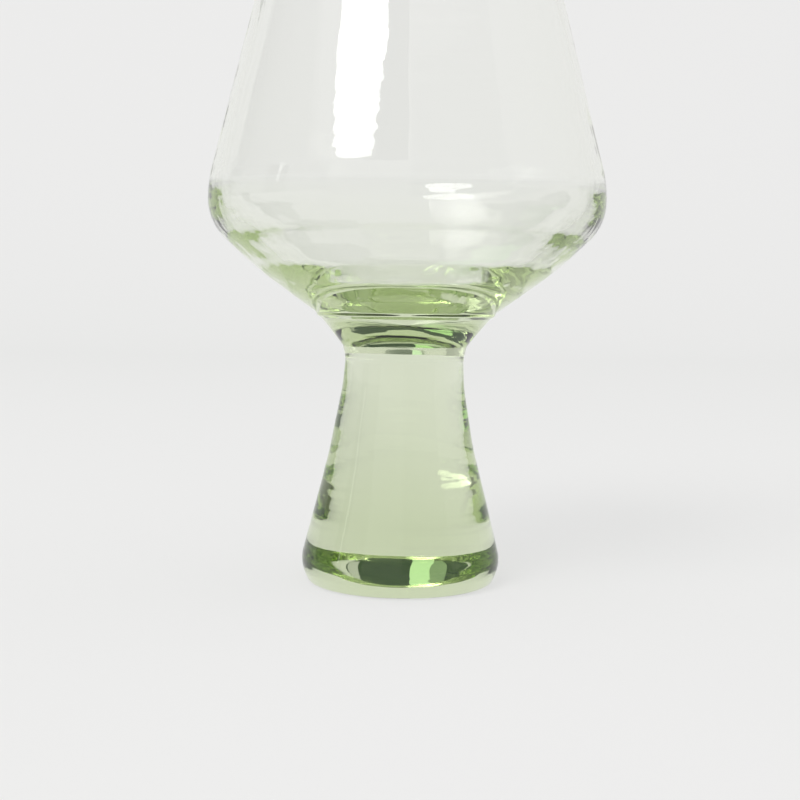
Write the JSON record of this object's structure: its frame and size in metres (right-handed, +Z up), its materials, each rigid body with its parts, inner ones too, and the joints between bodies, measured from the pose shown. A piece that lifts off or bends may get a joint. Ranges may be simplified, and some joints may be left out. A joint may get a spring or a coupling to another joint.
{
  "type": "wine glass",
  "caption": "Stemmed wine glass with a wide tapered bowl, a short collar and a heavy solid stem that flares into its own flat foot.",
  "frame": {"origin": "middle of the flat underside of the foot, on the table surface", "axes": "+Z up along the axis of the glass, towards the rim; X and Y are any two directions at right angles"},
  "size_m": [0.0958, 0.0958, 0.165],
  "materials": {
    "bowl_glass": "clear fire-polished glass with a pale green tint that shows where it is thick",
    "collar_glass": "clear fire-polished pale green glass with fine tool rings",
    "stem_glass": "solid clear pale green glass, fire polished, with a few tiny seeds"
  },
  "bodies": {
    "root": {"bowl": "bowl_glass", "collar": "collar_glass", "stem_foot": "stem_glass"}
  },
  "joints": []
}
